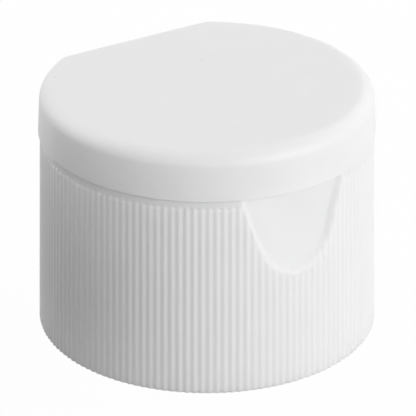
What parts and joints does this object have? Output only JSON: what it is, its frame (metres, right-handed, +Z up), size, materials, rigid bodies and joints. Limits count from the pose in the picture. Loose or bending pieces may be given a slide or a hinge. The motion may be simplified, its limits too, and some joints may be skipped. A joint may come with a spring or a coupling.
{
  "type": "flip top cap",
  "caption": "White flip top bottle cap with a finely ribbed skirt, a thumb recess under a D-shaped snap lid, a living hinge, a plugged pouring spout and a threaded collar.",
  "frame": {"origin": "centre of the bottom rim, on the axis of the neck thread", "axes": "+Z up along the neck axis to the lid's top; the thumb recess faces -Y and the hinge +Y"},
  "size_m": [0.032, 0.032, 0.0238],
  "materials": {
    "white_plastic": "satin moulded polypropylene"
  },
  "bodies": {
    "cap_body": {"cap_body": "white_plastic", "living_hinge": "white_plastic"},
    "flip_lid": {"flip_lid": "white_plastic"}
  },
  "joints": [
    {"name": "lid_hinge", "type": "hinge", "parent": "cap_body", "child": "flip_lid", "pos_m": [0, 0.01428, 0.01924], "axis": [-1, 0, 0], "range_deg": [0, 180], "deforming": ["living_hinge"]}
  ]
}
